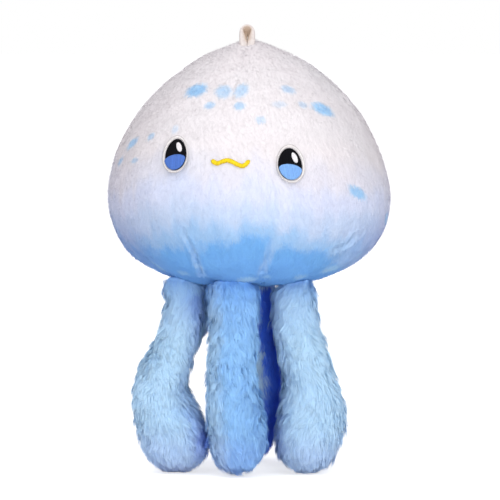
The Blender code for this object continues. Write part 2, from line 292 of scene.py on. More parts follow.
def mesh_from(name, points, vertices, starts):
    mesh = bpy.data.meshes.new(name)
    mesh.vertices.add(len(points))
    mesh.vertices.foreach_set("co", points.astype(np.float32).ravel())
    mesh.loops.add(len(vertices))
    mesh.loops.foreach_set("vertex_index", vertices.astype(np.int32))
    mesh.polygons.add(len(starts))
    mesh.polygons.foreach_set("loop_start", starts.astype(np.int32))
    mesh.update(calc_edges=True)
    mesh.shade_smooth()
    return mesh


def add_attribute(mesh, name, kind, values):
    layer = mesh.attributes.new(name, kind, "POINT")
    field = "vector" if kind == "FLOAT_VECTOR" else "value"
    layer.data.foreach_set(field, values.astype(np.float32).ravel())


def add_object(name, data):
    item = bpy.data.objects.new(name, data)
    bpy.context.scene.collection.objects.link(item)
    return item


def new_piece(name, mesh, material):
    mesh.materials.append(material)
    return add_object(name, mesh)


def apply_modifiers(piece):
    graph = bpy.context.evaluated_depsgraph_get()
    mesh = bpy.data.meshes.new_from_object(piece.evaluated_get(graph), depsgraph=graph)
    piece.modifiers.clear()
    piece.data = mesh


def raise_crown(form):
    """Carries a tentacle's root on at full width into the bell."""
    crown = [vert for vert in form.verts if vert.co.z > CROWN_LEVEL]
    middle = sum((vert.co for vert in crown), Vector()) / len(crown)
    for vert in crown:
        vert.co.x = middle.x + (vert.co.x - middle.x) * CROWN_SPREAD
        vert.co.y = middle.y + (vert.co.y - middle.y) * CROWN_SPREAD
        vert.co.z += CROWN_RISE


def soft_copy(node, voxel):
    """An even, rounded mesh of a packed soft solid."""
    form = bmesh.new()
    form.from_mesh(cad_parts[node].data)
    bmesh.ops.remove_doubles(form, verts=form.verts, dist=0.01 * MM)
    if node.startswith("tentacle"):
        raise_crown(form)
    mesh = bpy.data.meshes.new(node + "_form")
    form.to_mesh(mesh)
    form.free()
    copy = add_object(node + "_form", mesh)
    copy.modifiers.new("round", "SUBSURF").levels = 2
    remesh = copy.modifiers.new("even", "REMESH")
    remesh.mode, remesh.voxel_size = "VOXEL", voxel
    relax = copy.modifiers.new("relax", "SMOOTH")
    relax.factor, relax.iterations = 0.5, 4
    copy.modifiers.new("fine", "SUBSURF").levels = 1
    apply_modifiers(copy)
    mesh = copy.data
    bpy.data.objects.remove(copy)
    return mesh


# Pile


def nearest(points, places):
    """The number of the nearest point for each place."""
    tree = kdtree.KDTree(len(points))
    for i, point in enumerate(points):
        tree.insert(point, i)
    tree.balance()
    return np.array([tree.find(place)[1] for place in places])


def roots_on(mesh, count, rng):
    """Places spread evenly over a mesh, with the surface normal at each."""
    mesh.calc_loop_triangles()
    triangles = np.empty(len(mesh.loop_triangles) * 3, np.int32)
    mesh.loop_triangles.foreach_get("vertices", triangles)
    corners = points_of(mesh)[triangles.reshape(-1, 3)]
    normals = normals_of(mesh)[triangles.reshape(-1, 3)]
    areas = np.linalg.norm(np.cross(corners[:, 1] - corners[:, 0], corners[:, 2] - corners[:, 0]), axis=1)
    ends = np.cumsum(areas)
    places = (np.arange(count) + rng.random(count)) / count * ends[-1]
    chosen = np.searchsorted(ends, places).clip(0, len(ends) - 1)
    first, second = rng.random(count), rng.random(count)
    flip = first + second > 1
    first, second = np.where(flip, 1 - first, first), np.where(flip, 1 - second, second)
    shares = np.stack([1 - first - second, first, second], 1)[:, :, None]
    return (corners[chosen] * shares).sum(1), unit((normals[chosen] * shares).sum(1)), ends[-1] / 2


def combed(roots, normals, swirl, seed):
    """Directions along the surface, mostly downwards, that swirl a little from place to place."""
    down = -UP - normals * (normals @ -UP)[:, None]
    flat = np.linalg.norm(down, axis=1) < 0.15
    outward = roots - roots.mean(0)
    outward -= normals * (outward * normals).sum(1)[:, None]
    down[flat] = outward[flat]
    angles = swirl * (0.6 * waves(roots, 0.06, seed) + 0.4 * waves(roots, 0.022, seed + 1))
    return turned(unit(down), normals, angles)


def laid(paths, heights, mesh, share):
    """Bends strands round the form: each point moves to its height over the nearest skin."""
    corners, starts = corners_of(mesh)
    tree = BVHTree.FromPolygons(points_of(mesh).tolist(), np.split(corners, starts[1:]))
    for k in range(1, paths.shape[1]):
        for i, point in enumerate(paths[:, k]):
            near, normal, _, _ = tree.find_nearest(point)
            paths[i, k] += share * (np.array(near) + np.array(normal) * heights[i, k] - point)
    return paths


def grown(mesh, roots, normals, directions, area, look, rng):
    """The points of each strand from root to tip, the strand that leads its lock and the lock's tone."""
    count = len(roots)
    levels = np.array((0.0, *look["inner"], 1.0))
    clumps = max(int(area / look["clump_area"]), 1)
    guides = rng.choice(count, min(clumps, count), replace=False)
    lock = nearest(roots[guides], roots)
    own = guides[lock]
    tuft = np.clip(np.exp(rng.normal(0, look["tuft"], len(guides))), 0.55, 2.0)[lock]
    length = rng.uniform(*look["length"], count) * tuft**0.4
    rise = rng.uniform(*look["rise"], count) * tuft
    directions = turned(directions, normals, rng.normal(0, 0.28, count))
    along = levels[None, :, None] * length[:, None, None] * directions[:, None]
    heights = (1 - (1 - levels) ** 2)[None] * rise[:, None]
    paths = roots[:, None] + along + heights[:, :, None] * normals[:, None]
    if look["laid"]:
        paths = laid(paths, heights, mesh, look["laid"])
    pull = (look["clump"] * levels**1.4)[None, :, None]
    target = paths[own] + 0.3 * (roots - roots[own])[:, None]
    return paths + pull * (target - paths), own, rng.random(len(guides))[lock]


def lock_normals(roots, normals, directions, own, look):
    """Normals that turn away from the middle of each lock, so that it shades as a rounded strand."""
    across = np.cross(normals, directions)
    offset = ((roots - roots[own]) * across).sum(1) / (0.6 * math.sqrt(look["clump_area"]))
    return unit(normals + look["rounding"] * np.clip(offset, -1, 1)[:, None] * across)


def ribbons(paths, normals, look, rng):
    """Tapered blades along the paths: points, their normals, corners, face starts and shares along."""
    count, levels = paths.shape[:2]
    ahead = unit(np.gradient(paths, axis=1))
    side = unit(np.cross(ahead, normals[:, None]))
    facing = np.cross(side, ahead)
    roll = rng.uniform(-look["roll"], look["roll"], count)[:, None, None]
    side = side * np.cos(roll) + facing * np.sin(roll)
    facing = np.cross(side, ahead)
    widths = look["width"] / 2 * rng.uniform(0.7, 1.25, count)[:, None, None]
    inner = slice(1, levels - 1)
    left = paths[:, inner] - side[:, inner] * widths
    right = paths[:, inner] + side[:, inner] * widths
    pairs = np.stack([left, right], 2).reshape(count, -1, 3)
    points = np.concatenate([paths[:, :1], pairs, paths[:, -1:]], 1)
    own = look["own_normal"]
    soft = unit(normals[:, None] * (1 - own) + facing * own)
    shaded = np.concatenate([soft[:, :1], np.repeat(soft[:, inner], 2, 1), soft[:, -1:]], 1)
    size = points.shape[1]
    between = [(i, i + 1, i + 3, i + 2) for i in range(1, size - 3, 2)]
    faces = [(0, 2, 1), *between, (size - 3, size - 2, size - 1)]
    corners = np.concatenate([np.array(face) for face in faces])
    counts = np.array([len(face) for face in faces])
    offsets = np.concatenate([[0], np.cumsum(counts)[:-1]])
    vertices = (corners[None] + np.arange(count)[:, None] * size).ravel()
    starts = (offsets[None] + np.arange(count)[:, None] * len(corners)).ravel()
    share = np.concatenate([[0], np.repeat(np.array(look["inner"]), 2), [1]])
    return points.reshape(-1, 3), shaded.reshape(-1, 3), vertices, starts, np.tile(share, count), size


def disc_map(points, level, squeeze, axis_of):
    """A flat map of a rounded form: the top is the middle and the underside the edge of a disc."""
    offset = points[:, :2] - axis_of(points[:, 2])
    radius = np.linalg.norm(offset, axis=1)
    polar = np.arctan2(radius, (points[:, 2] - level) * squeeze) / math.pi
    direction = offset / np.maximum(radius, 1e-9)[:, None]
    return 0.5 + 0.495 * polar[:, None] * direction


def with_pile(name, skin, strands, roots, tones, map_of, extra):
    """One mesh of the skin and the blades that stand on it, with the places of their roots."""
    blade_points, blade_normals, blade_corners, blade_starts, share, size = strands
    skin_points, skin_normals = points_of(skin), normals_of(skin)
    skin_corners, skin_starts = corners_of(skin)
    points = np.concatenate([skin_points, blade_points])
    corners = np.concatenate([skin_corners, blade_corners + len(skin_points)])
    starts = np.concatenate([skin_starts, blade_starts + len(skin_corners)])
    mesh = mesh_from(name, points, corners, starts)
    places = np.concatenate([skin_points, np.repeat(roots, size, 0)])
    tips = np.concatenate([np.zeros(len(skin_points)), share])
    add_attribute(mesh, "root", "FLOAT_VECTOR", places)
    add_attribute(mesh, "tip", "FLOAT", tips)
    fields = extra(np.concatenate([skin_points, roots]))
    fields["lock"] = np.concatenate([np.full(len(skin_points), 0.5), tones])
    for key, values in fields.items():
        skin_values, root_values = values[: len(skin_points)], values[len(skin_points) :]
        add_attribute(mesh, key, "FLOAT", np.concatenate([skin_values, np.repeat(root_values, size)]))
    flat = map_of(places)
    spread = np.zeros_like(flat)
    phase = np.tile(np.arange(size) / size * 2 * math.pi, len(roots))
    spread[len(skin_points) :] = MAP_FOOTPRINT * np.stack([np.cos(phase), np.sin(phase)], 1)
    layer = mesh.uv_layers.new(name="OFBake")
    layer.uv.foreach_set("vector", (flat + spread)[corners].astype(np.float32).ravel())
    mesh.normals_split_custom_set_from_vertices(np.concatenate([skin_normals, blade_normals]))
    return mesh


# Node helpers


def place_node(tree, kind, inputs=None, **settings):
    """A node with its settings, and a value or a link for each named or numbered input."""
    node = tree.nodes.new(kind)
    for key, value in settings.items():
        setattr(node, key, value)
    for key, value in (inputs or {}).items():
        socket = node.inputs[key]
        if isinstance(value, bpy.types.NodeSocket):
            tree.links.new(value, socket)
        else:
            socket.default_value = value
    return node


def mix_colour(tree, factor, first, second, mode="MIX"):
    def filled(colour):
        return colour if isinstance(colour, bpy.types.NodeSocket) else (*colour, 1)

    inputs = {0: factor, 6: filled(first), 7: filled(second)}
    return place_node(tree, "ShaderNodeMix", inputs, data_type="RGBA", blend_type=mode).outputs[2]


def calculate(tree, operation, first, second=0.0, third=0.0):
    inputs = {0: first, 1: second, 2: third}
    return place_node(tree, "ShaderNodeMath", inputs, operation=operation).outputs[0]


def noise(tree, vector, scale, detail=2.0):
    inputs = {"Vector": vector, "Scale": scale, "Detail": detail}
    return place_node(tree, "ShaderNodeTexNoise", inputs).outputs["Fac"]


def vector_math(tree, operation, first, second=(0, 0, 0), output=0):
    inputs = {0: first, 1: second}
    return place_node(tree, "ShaderNodeVectorMath", inputs, operation=operation).outputs[output]


def axis_part(tree, vector, axis):
    return place_node(tree, "ShaderNodeSeparateXYZ", {0: vector}).outputs[axis]


def share_between(tree, value, low, high, curve="LINEAR"):
    """0 where the value is at the first limit and 1 at the second."""
    inputs = {"Value": value, "From Min": low, "From Max": high}
    return place_node(tree, "ShaderNodeMapRange", inputs, interpolation_type=curve).outputs[0]


def colour_levels(tree, value, stops):
    """The colour at a value, from stops of (value, colour)."""
    low, high = stops[0][0], stops[-1][0]
    share = calculate(tree, "MULTIPLY_ADD", value, 1 / (high - low), -low / (high - low))
    ramp = place_node(tree, "ShaderNodeValToRGB", {"Fac": share})
    ramp.color_ramp.interpolation = "EASE"
    elements = ramp.color_ramp.elements
    while len(elements) < len(stops):
        elements.new(0.5)
    for element, (level, colour) in zip(elements, stops):
        element.position = (level - low) / (high - low)
        element.color = (*colour, 1)
    return ramp.outputs["Color"]


def new_group(name, inputs, outputs):
    """A node group, with the kind of each input by its name, and numbers as its outputs."""
    tree = bpy.data.node_groups.new(name, "ShaderNodeTree")
    for label, kind in inputs.items():
        tree.interface.new_socket(label, in_out="INPUT", socket_type="NodeSocket" + kind)
    for label in outputs:
        tree.interface.new_socket(label, in_out="OUTPUT", socket_type="NodeSocketFloat")
    return tree, tree.nodes.new("NodeGroupInput").outputs, tree.nodes.new("NodeGroupOutput").inputs


def use_group(tree, group, inputs):
    return place_node(tree, "ShaderNodeGroup", inputs, node_tree=group).outputs


def new_material(name, roughness, specular=0.3, sheen=0.0):
    material = bpy.data.materials.new(name)
    material.use_nodes = True
    tree = material.node_tree
    shader = tree.nodes["Principled BSDF"]
    shader.inputs["Roughness"].default_value = roughness
    shader.inputs["Specular IOR Level"].default_value = specular
    shader.inputs["Sheen Weight"].default_value = sheen
    shader.inputs["Sheen Roughness"].default_value = 0.5
    return material, tree, shader


def attribute(tree, name, output="Vector"):
    return place_node(tree, "ShaderNodeAttribute", attribute_name=name).outputs[output]


# Shared effects


def make_fibre_group():
    """Uneven tone of pile: broad patches, clumps and single fibres, each about 0 to 1."""
    kinds = {"Place": "Vector", "Clump Scale": "Float"}
    tree, given, made = new_group("pile_tone", kinds, ("Broad", "Clump", "Fibre"))
    tree.links.new(noise(tree, given["Place"], 14, 3), made["Broad"])
    drawn = vector_math(tree, "MULTIPLY", given["Place"], (1, 1, 0.45))
    tree.links.new(noise(tree, drawn, given["Clump Scale"], 2), made["Clump"])
    tree.links.new(noise(tree, given["Place"], 1400, 1), made["Fibre"])
    return tree


def make_spot_group():
    """A printed oval with a soft uneven edge: 1 inside and 0 outside."""
    kinds = {key: "Vector" for key in ("Place", "Centre", "Across", "Upward")}
    tree, given, made = new_group("printed_spot", {**kinds, "Roughened": "Float"}, ("Mask",))
    offset = vector_math(tree, "SUBTRACT", given["Place"], given["Centre"])
    across = vector_math(tree, "DOT_PRODUCT", offset, given["Across"], "Value")
    upward = vector_math(tree, "DOT_PRODUCT", offset, given["Upward"], "Value")
    square = calculate(tree, "MULTIPLY_ADD", across, across, calculate(tree, "MULTIPLY", upward, upward))
    distance = calculate(tree, "SQRT", square)
    ragged = calculate(tree, "MULTIPLY_ADD", given["Roughened"], 0.9, distance)
    tree.links.new(share_between(tree, ragged, 1.25, 0.5, "SMOOTHSTEP"), made["Mask"])
    return tree


def make_thread_group():
    """Twisted thread seen from above: its height and its tone."""
    kinds = {"Place": "Vector", "Along": "Float", "Across": "Float"}
    tree, given, made = new_group("twisted_thread", kinds, ("Height", "Tone"))
    slant = calculate(tree, "MULTIPLY", given["Across"], 3)
    wound = calculate(tree, "MULTIPLY_ADD", given["Along"], 9000, slant)
    tree.links.new(calculate(tree, "SINE", wound), made["Height"])
    tree.links.new(noise(tree, given["Place"], 1200, 2), made["Tone"])
    return tree


def make_weave_group():
    """Plain weave: height and tone from a place along and across the tape."""
    kinds = {"Along": "Float", "Across": "Float"}
    tree, given, made = new_group("plain_weave", kinds, ("Height", "Tone"))
    rate = 2 * math.pi / WEAVE_PITCH
    warp = calculate(tree, "SINE", calculate(tree, "MULTIPLY", given["Across"], rate))
    weft = calculate(tree, "SINE", calculate(tree, "MULTIPLY", given["Along"], rate))
    product = calculate(tree, "MULTIPLY", warp, weft)
    tree.links.new(product, made["Height"])
    tree.links.new(calculate(tree, "MULTIPLY_ADD", product, 0.5, 0.5), made["Tone"])
    return tree


# Materials


def varied(tree, colour, tones, depths):
    """A colour made a little lighter and darker by tones that are about 0.5 on average."""
    factor = 1.0
    for tone, depth in zip(tones, depths):
        step = calculate(tree, "MULTIPLY_ADD", tone, 2 * depth, 1 - depth)
        factor = calculate(tree, "MULTIPLY", step, factor)
    grey = place_node(tree, "ShaderNodeCombineColor", {0: factor, 1: factor, 2: factor}).outputs[0]
    return mix_colour(tree, 1.0, colour, grey, "MULTIPLY")


def bell_point(azimuth, level):
    """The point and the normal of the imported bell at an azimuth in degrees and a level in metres."""
    angle = math.radians(azimuth)
    outward = Vector((math.sin(angle), -math.cos(angle), 0))
    point, normal, _, _ = bell_tree.ray_cast(outward * 0.5 + Vector((0, 0, level)), -outward)
    return point, normal


def make_bell_material():
    material, tree, shader = new_material("bell_plush", 0.95, 0.15)
    place = attribute(tree, "root")
    level = axis_part(tree, place, "Z")
    tones = use_group(tree, pile_tone, {"Place": place, "Clump Scale": 190})
    streaks = noise(tree, vector_math(tree, "MULTIPLY", place, (1, 1, 0.14)), 80, 2)
    shifted = calculate(tree, "MULTIPLY_ADD", streaks, 26, calculate(tree, "MULTIPLY", level, 1000))
    shifted = calculate(tree, "MULTIPLY_ADD", tones["Broad"], 38, shifted)
    sideways = axis_part(tree, vector_math(tree, "NORMALIZE", place), "X")
    # Painted shade: the gradient's blue reaches higher on the left side and lower on the right
    shifted = calculate(tree, "MULTIPLY_ADD", sideways, LEFT_SHADE_SHIFT, shifted)
    sideways = calculate(tree, "MULTIPLY", sideways, sideways)
    shifted = calculate(tree, "MULTIPLY_ADD", sideways, SIDE_PALENESS, shifted)
    colour = colour_levels(tree, calculate(tree, "ADD", shifted, BELL_SHIFT), BELL_LEVELS)
    # Painted shade: lavender over the lower sides of the bell
    side = share_between(tree, sideways, 0.1, 0.24)
    low = share_between(tree, level, 0.208, 0.184)
    painted_side_shade = calculate(tree, "MULTIPLY", calculate(tree, "MULTIPLY", side, low), 0.65)
    colour = mix_colour(tree, painted_side_shade, colour, SIDE_SHADE_LAVENDER)
    warm = mix_colour(tree, tones["Broad"], (0.955, 0.985, 1.0), (1.0, 0.965, 0.975))
    colour = mix_colour(tree, 1.0, colour, warm, "MULTIPLY")
    rough = calculate(tree, "MULTIPLY_ADD", noise(tree, place, 380, 3), 1.0, -0.5)
    printed = 0.0
    for azimuth, height, width, tall, turn, strength in SPOTS:
        centre, normal = bell_point(azimuth, height * MM)
        across = Vector((0, 0, 1)).cross(normal).normalized()
        upward = normal.cross(across)
        spin = Matrix.Rotation(math.radians(turn), 3, normal)
        inputs = {
            "Place": place,
            "Centre": centre,
            "Across": spin @ across * (2 / (width * MM)),
            "Upward": spin @ upward * (2 / (tall * MM)),
            "Roughened": rough,
        }
        mask = calculate(tree, "MULTIPLY", use_group(tree, printed_spot, inputs)["Mask"], strength)
        printed = calculate(tree, "MAXIMUM", mask, printed)
    patchy = calculate(tree, "MULTIPLY", printed, calculate(tree, "MULTIPLY_ADD", rough, 1.2, 1.08))
    colour = mix_colour(tree, calculate(tree, "MINIMUM", patchy, 1.0), colour, SPOT_BLUE)
    colour = mix_colour(tree, attribute(tree, "parted", "Fac"), colour, PARTED_PALE)
    # Painted shade: darker along the crease valleys
    dark = mix_colour(tree, 1.0, colour, CREASE_SHADE, "MULTIPLY")
    colour = mix_colour(tree, attribute(tree, "painted_crease_shade", "Fac"), colour, dark)
    lock = attribute(tree, "lock", "Fac")
    colour = varied(tree, colour, (tones["Clump"], tones["Fibre"], lock), (0.04, 0.05, 0.02))
    tree.links.new(colour, shader.inputs["Base Color"])
    return material


def make_fur_material():
    material, tree, shader = new_material("tentacle_fur", 0.9, 0.15, 0.06)
    shader.inputs["Sheen Tint"].default_value = (0.5, 0.72, 1, 1)
    place = attribute(tree, "root")
    level = axis_part(tree, place, "Z")
    tones = use_group(tree, pile_tone, {"Place": place, "Clump Scale": 150})
    shifted = calculate(tree, "MULTIPLY_ADD", tones["Broad"], 24, calculate(tree, "MULTIPLY", level, 1000))
    colour = colour_levels(tree, calculate(tree, "ADD", shifted, FUR_SHIFT), FUR_LEVELS)
    tip = attribute(tree, "tip", "Fac")
    # Painted shade deep in the fur: darker and bluer towards the roots and on the skin under them
    root_shade = mix_colour(tree, 1.0, colour, (0.68, 0.84, 1.0), "MULTIPLY")
    colour = mix_colour(tree, calculate(tree, "MULTIPLY_ADD", tip, 0.7, 0.3), root_shade, colour)
    # Painted shade: deeper blue on the middle tentacle and in the gaps between tentacles
    for key, tint in (("painted_middle_shade", MIDDLE_SHADE_BLUE), ("painted_gap_shade", GAP_SHADE_BLUE)):
        tinted = mix_colour(tree, 1.0, colour, tint, "MULTIPLY")
        colour = mix_colour(tree, attribute(tree, key, "Fac"), colour, tinted)
    lock = attribute(tree, "lock", "Fac")
    colour = varied(tree, colour, (tones["Clump"], tones["Fibre"], lock), (0.08, 0.06, 0.05))
    tree.links.new(colour, shader.inputs["Base Color"])
    return material


def make_thread_material(name, colour, roughness, depth, edge=None, both=False):
    """Twisted embroidery thread, of another colour towards the end or both ends of each stitch."""
    material, tree, shader = new_material(name, roughness, 0.1)
    place = attribute(tree, "place")
    if edge:
        share = attribute(tree, "share", "Fac")
        if both:
            share = calculate(tree, "ABSOLUTE", calculate(tree, "MULTIPLY_ADD", share, 2, -1))
        colour = mix_colour(tree, share_between(tree, share, 0.6, 1.0, "SMOOTHSTEP"), colour, edge)
    along, across = attribute(tree, "along", "Fac"), attribute(tree, "across", "Fac")
    made = use_group(tree, twisted_thread, {"Place": place, "Along": along, "Across": across})
    stitch = attribute(tree, "stitch", "Fac")
    shade = varied(tree, colour, (made["Tone"], stitch), (depth, depth))
    tree.links.new(shade, shader.inputs["Base Color"])
    relief = {"Strength": 0.35, "Distance": 0.05 * MM, "Height": made["Height"]}
    tree.links.new(place_node(tree, "ShaderNodeBump", relief).outputs[0], shader.inputs["Normal"])
    return material


def make_tape_material():
    material, tree, shader = new_material("loop_tape", 0.85, 0.3)
    inputs = {"Along": attribute(tree, "along", "Fac"), "Across": attribute(tree, "across", "Fac")}
    made = use_group(tree, plain_weave, inputs)
    broad = noise(tree, attribute(tree, "place"), 260, 3)
    base = mix_colour(tree, broad, srgb(224, 218, 216), srgb(207, 198, 192))
    # Painted shade: a darker warm tan on the faces that turn in towards the loop's middle
    base = mix_colour(tree, attribute(tree, "inner", "Fac"), base, srgb(186, 165, 146))
    shade = varied(tree, base, (made["Tone"],), (0.08,))
    tree.links.new(shade, shader.inputs["Base Color"])
    relief = {"Strength": 0.5, "Distance": 0.08 * MM, "Height": made["Height"]}
    tree.links.new(place_node(tree, "ShaderNodeBump", relief).outputs[0], shader.inputs["Normal"])
    return material


# Bell


def path_on_bell(points):
    """A smooth line over the bell through (azimuth, level in mm) points."""
    found = np.array([bell_point(azimuth, level * MM)[0] for azimuth, level in points])
    dense = []
    for start, end in zip(found[:-1], found[1:]):
        dense += [start + (end - start) * part for part in np.linspace(0, 1, 8, endpoint=False)]
    return np.array(dense + [found[-1]])


def crease_distances(points):
    """For each crease, how far each point is from its line, and the fading towards its ends."""
    for route, width, depth, ridge in CREASES:
        line = path_on_bell(route)
        near = np.linalg.norm(points[:, None] - line[None], axis=2)
        fade = np.sin(np.linspace(0.15, 1, len(line)) * math.pi * 0.75)
        closest = near.argmin(1)
        yield near.min(1), fade[closest], width * MM, depth * MM, ridge * MM


def shape_bell(mesh):
    """Sinks the skin under its pile, creases it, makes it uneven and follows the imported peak."""
    points, normals = points_of(mesh), normals_of(mesh)
    move = -BELL_SINK + LUMP_HEIGHT * (0.7 * waves(points, 0.07, 11) + 0.3 * waves(points, 0.03, 12))
    for distance, fade, width, depth, ridge in crease_distances(points):
        valley = np.exp(-((distance / width) ** 2))
        banks = np.exp(-(((distance - 2.2 * width) / width) ** 2))
        move += fade * (ridge * banks - depth * valley)
    points = points + normals * move[:, None]
    for i in np.nonzero(points[:, 2] > PEAK_LEVEL)[0]:
        hit = bell_tree.ray_cast(Vector((*points[i, :2], 0.5)), -Vector(UP))[0]
        points[i, 2] += smooth_step((hit.z - PEAK_LEVEL) / PEAK_FADE) * (hit.z - BELL_SINK - points[i, 2])
    move_points(mesh, points)


def parted_pile_and_crease_shade(places):
    """Where the pile parts along a crease and its pale roots show, and the painted shade along each crease
    valley.
    """
    parted, painted_crease_shade = np.zeros(len(places)), np.zeros(len(places))
    for distance, fade, width, depth, ridge in crease_distances(places):
        bank = np.exp(-(((distance - 1.4 * width) / (1.1 * width)) ** 2))
        parted = np.maximum(parted, bank * fade * (ridge > 1.2 * MM))
        # painted shade in the valley of each crease
        valley = np.exp(-((distance / (0.6 * width)) ** 2))
        painted_crease_shade = np.maximum(painted_crease_shade, valley * fade * min(depth / (2 * MM), 1))
    patchy = np.clip(0.75 + 0.35 * waves(places, 0.009, 31), 0, 1)
    return {"parted": 0.4 * parted * patchy, "painted_crease_shade": 0.7 * painted_crease_shade}


def cover_near(points, tree, reach):
    """Whether each point is within reach of the stitching."""
    return np.array([tree.find_nearest(point, reach)[0] is not None for point in points])


def make_bell():
    rng = np.random.default_rng(1)
    skin = soft_copy("bell", BELL_VOXEL)
    shape_bell(skin)
    roots, normals, area = roots_on(skin, BELL_PILE["count"], rng)
    directions = combed(roots, normals, BELL_PILE["swirl"], 21)
    paths, own, tones = grown(skin, roots, normals, directions, area, BELL_PILE, rng)
    shading = lock_normals(roots, normals, directions, own, BELL_PILE)
    low, high = FACE_LEVELS
    face = (roots[:, 1] < FACE_FRONT) & (roots[:, 2] > low) & (roots[:, 2] < high)
    inside, over = np.zeros(len(roots), bool), np.zeros(len(roots), bool)
    inside[face] = cover_near(roots[face], stitch_tree, STITCH_MARGIN)
    over[face] = cover_near(paths[face, -1], stitch_tree, TIP_MARGIN)
    paths[over] = roots[over, None] + 0.3 * (paths[over] - roots[over, None])
    keep = ~inside
    roots, tones = roots[keep], tones[keep]
    strands = ribbons(paths[keep], shading[keep], BELL_PILE, rng)

    def map_of(places):
        return disc_map(places, *BELL_MAP, lambda z: np.zeros((len(z), 2)))

    mesh = with_pile("bell_cover", skin, strands, roots, tones, map_of, parted_pile_and_crease_shade)
    piece = new_piece("bell_cover", mesh, bell_plush)
    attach(piece, "root")
    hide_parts("bell")


# Tentacles


def painted_gap_shade(points, normals, node):
    """How far each point is shut in by the other tentacles, which sets the painted gap shade: 0 in the
    open, 1 in a narrow gap.
    """
    others = tree_of(*[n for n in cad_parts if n.startswith("tentacle") and n != node])
    fan = GAP_SPREAD * unit(np.random.default_rng(3).normal(size=(GAP_RAYS, 3)))
    found = np.zeros(len(points))
    for i, (point, normal) in enumerate(zip(points, normals)):
        for spread in fan:
            distance = others.ray_cast(point, normal + spread, 4 * GAP_REACH)[3]
            if distance is not None:
                found[i] += math.exp(-distance / GAP_REACH) / len(fan)
    return found


def make_tentacle(node, seed):
    rng = np.random.default_rng(seed)
    skin = soft_copy(node, FUR_VOXEL)
    points, normals = points_of(skin), normals_of(skin)
    # How strongly the painted gap shade counts on the front and the back tentacles
    closeness = FRONT_CLOSENESS if "front" in node else BACK_CLOSENESS
    gap = np.clip(closeness * painted_gap_shade(points, normals, node), 0, 1) ** 1.5
    for side, level, spread, amount in FUR_SWELLS.get(node, ()):
        near = np.exp(-(((points[:, 2] / MM - level) / spread) ** 2))
        points[:, 0] += side * amount * MM * near * np.clip(side * normals[:, 0], 0, 1)
    sink = FUR_SINK * (1 + 0.12 * waves(points, 0.018, seed + 5))
    tucked = np.clip(1 - points[:, 2] / FOOT_LEVEL, 0, 1) ** 2
    sink += FOOT_TUCK * tucked * np.linalg.norm(normals[:, :2], axis=1)
    normals[normals[:, 2] > 0, 2] *= 0.2
    points = points - normals * sink[:, None]
    points[:, 2] = np.maximum(points[:, 2], SOLE_CLEARANCE)
    move_points(skin, points)
    levels = np.linspace(points[:, 2].min(), points[:, 2].max(), 14)
    middle = np.array([points[np.abs(points[:, 2] - z) < 8 * MM, :2].mean(0) for z in levels])

    def axis_of(z):
        return np.stack([np.interp(z, levels, middle[:, k]) for k in (0, 1)], 1)

    def map_of(places):
        return disc_map(places, *FUR_MAP, axis_of)

    roots, normals, area = roots_on(skin, FUR["count"], rng)
    hidden_top = (normals[:, 2] > 0.7) & (roots[:, 2] > CROWN_LEVEL)
    hidden_sole = (normals[:, 2] < -0.9) & (roots[:, 2] < 4 * MM)
    shown = ~(hidden_top | hidden_sole)
    roots, normals = roots[shown], normals[shown]
    directions = combed(roots, normals, FUR["swirl"], seed + 1)
    paths, own, tones = grown(skin, roots, normals, directions, area, FUR, rng)
    paths[:, :, 2] = np.maximum(paths[:, :, 2], SOLE_CLEARANCE)
    strands = ribbons(paths, lock_normals(roots, normals, directions, own, FUR), FUR, rng)

    def fields(places):
        sideways = places[:, 0] - axis_of(places[:, 2])[:, 0]
        # Painted shade: the middle tentacle deeper blue, less so on its lit left strip
        lit_strip = smooth_step((-sideways - 4 * MM) / (9 * MM))
        painted_middle_shade = (1 - 0.75 * lit_strip) * (node == "tentacle_front_middle")
        return {"painted_gap_shade": gap[nearest(points, places)], "painted_middle_shade": painted_middle_shade}

    mesh = with_pile(node + "_fur", skin, strands, roots, tones, map_of, fields)
    piece = new_piece(node + "_fur", mesh, tentacle_fur)
    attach(piece, "root")
    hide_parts(node)


# Embroidery


def tree_of(*nodes):
    """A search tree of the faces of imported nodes."""
    points, faces = [], []
    for node in nodes:
        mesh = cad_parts[node].data
        base = len(points)
        points += [vertex.co.copy() for vertex in mesh.vertices]
        faces += [[base + i for i in face.vertices] for face in mesh.polygons]
    return BVHTree.FromPolygons(points, faces)


def pad_frame(node):
    """The middle of a stitched pad, and its right, up and outward directions."""
    low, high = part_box(node)
    centre = (low + high) / 2
    outward = Vector((centre.x, centre.y, 0)).normalized()
    _, normal = bell_point(math.degrees(math.atan2(centre.x, -centre.y)), centre.z)
    right = Vector((0, 0, 1)).cross(outward).normalized()
    return centre, right, normal.cross(right).normalized(), normal


def stitch_span(tree, start, direction, outward, reach, steps):
    """The points where a straight stitch line lies on the pad, from its first edge to its last."""
    hits = []
    for part in np.linspace(-1, 1, steps):
        above = start + direction * reach * float(part) + outward * 6 * MM
        point, _, _, _ = tree.ray_cast(above, -outward, 12 * MM)
        hits.append(point)
    held = [i for i, point in enumerate(hits) if point is not None]
    runs = []
    for i in held:
        if runs and runs[-1][-1] == i - 1:
            runs[-1].append(i)
        else:
            runs.append([i])
    return [[hits[i] for i in run] for run in runs if len(run) > 2]


def resampled(points, count):
    """Points spaced evenly along a line of points."""
    line = np.array(points)
    lengths = np.concatenate([[0], np.cumsum(np.linalg.norm(np.diff(line, axis=0), axis=1))])
    at = np.linspace(0, lengths[-1], count)
    return np.stack([np.interp(at, lengths, line[:, k]) for k in range(3)], 1), at


